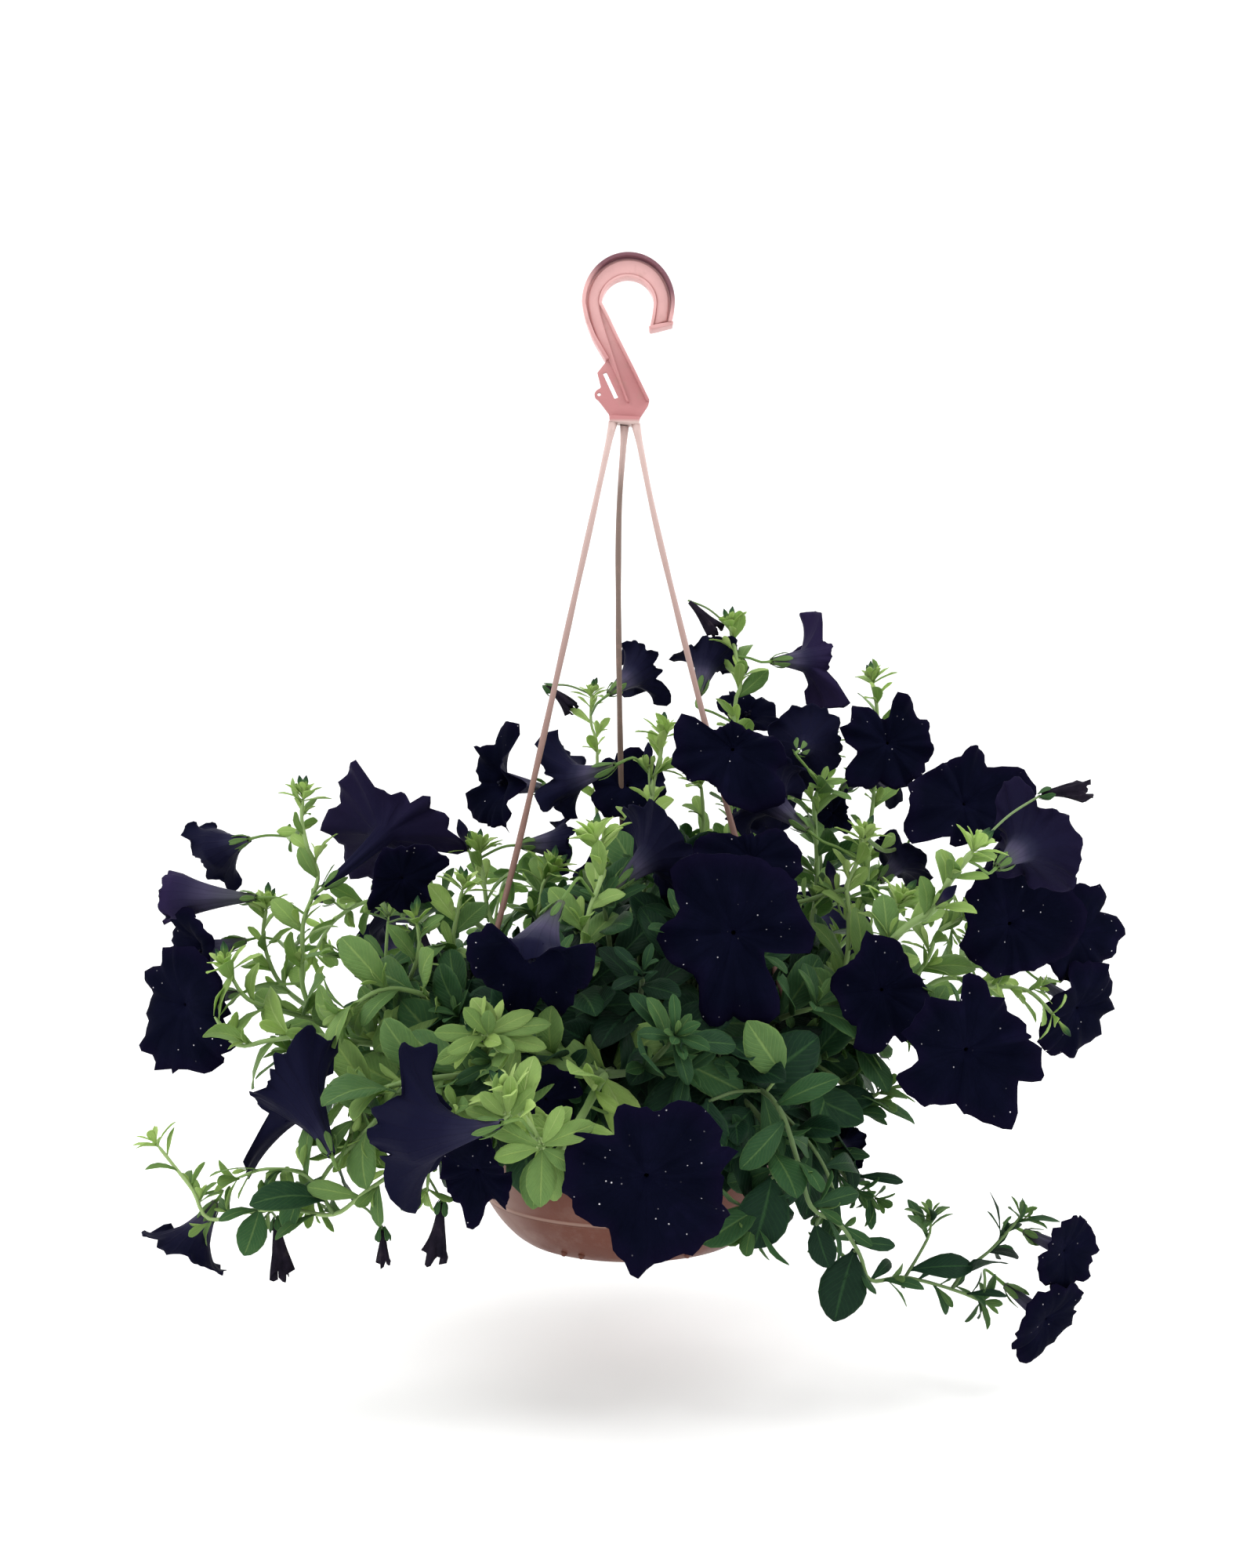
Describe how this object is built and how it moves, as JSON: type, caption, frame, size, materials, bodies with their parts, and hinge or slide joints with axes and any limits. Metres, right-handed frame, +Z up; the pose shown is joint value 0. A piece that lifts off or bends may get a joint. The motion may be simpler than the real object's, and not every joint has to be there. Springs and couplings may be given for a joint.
{
  "type": "petunia hanging basket",
  "caption": "Hanging basket: a plastic bowl on a three-legged moulded hanger with a hook, planted with a bushy dark-flowered petunia that trails over its rim.",
  "frame": {"origin": "the point inside the hook's crown that bears on whatever the basket hangs from", "axes": "+Z up, -Y towards the side where the two front legs of the hanger stand, +X to the right seen from there, the side on which the hook's mouth opens"},
  "size_m": [0.6129, 0.5291, 0.655],
  "materials": {
    "pot_plastic": "satin",
    "hanger_plastic": "satin",
    "potting_mix": "matte",
    "foliage": "matte",
    "petals": "matte"
  },
  "bodies": {
    "root": {"flower_01": "petals", "flower_02": "petals", "flower_02_back": "petals", "flower_03b": "petals", "flower_04_back": "petals", "flower_04a": "petals", "flower_05": "petals", "flower_05_back": "petals", "flower_06": "petals", "flower_07": "petals", "flower_07_back": "petals", "flower_09": "petals", "flower_09_back": "petals", "flower_10": "petals", "flower_11": "petals", "flower_13a": "petals", "flower_15": "petals", "flower_17": "petals", "flower_18": "petals", "flower_19": "petals", "flower_20": "petals", "flower_22": "petals", "flower_23": "petals", "flower_24": "petals", "flower_25b": "petals", "flower_26": "petals", "flower_28": "petals", "flower_30": "petals", "flower_31a": "petals", "flower_31b": "petals", "flower_32": "petals", "hanger_hook": "hanger_plastic", "hanger_strand_back": "hanger_plastic", "hanger_strand_left": "hanger_plastic", "hanger_strand_right": "hanger_plastic", "pot": "pot_plastic", "shoot_back_left": "foliage", "shoot_back_mid_left": "foliage", "shoot_back_mid_right": "foliage", "shoot_back_right": "foliage", "shoot_back_thin": "foliage", "shoot_centre": "foliage", "shoot_centre_left": "foliage", "shoot_front_drooping": "foliage", "shoot_left_front": "foliage", "shoot_left_inner": "foliage", "shoot_left_low": "foliage", "shoot_left_tall": "foliage", "shoot_right_back": "foliage", "shoot_right_flowers": "foliage", "shoot_right_front": "foliage", "shoot_right_low": "foliage", "shoot_right_mid": "foliage", "shoot_right_outer": "foliage", "shoot_top": "foliage", "shoot_trailing_left": "foliage", "shoot_trailing_right": "foliage", "soil": "potting_mix"}
  },
  "joints": []
}
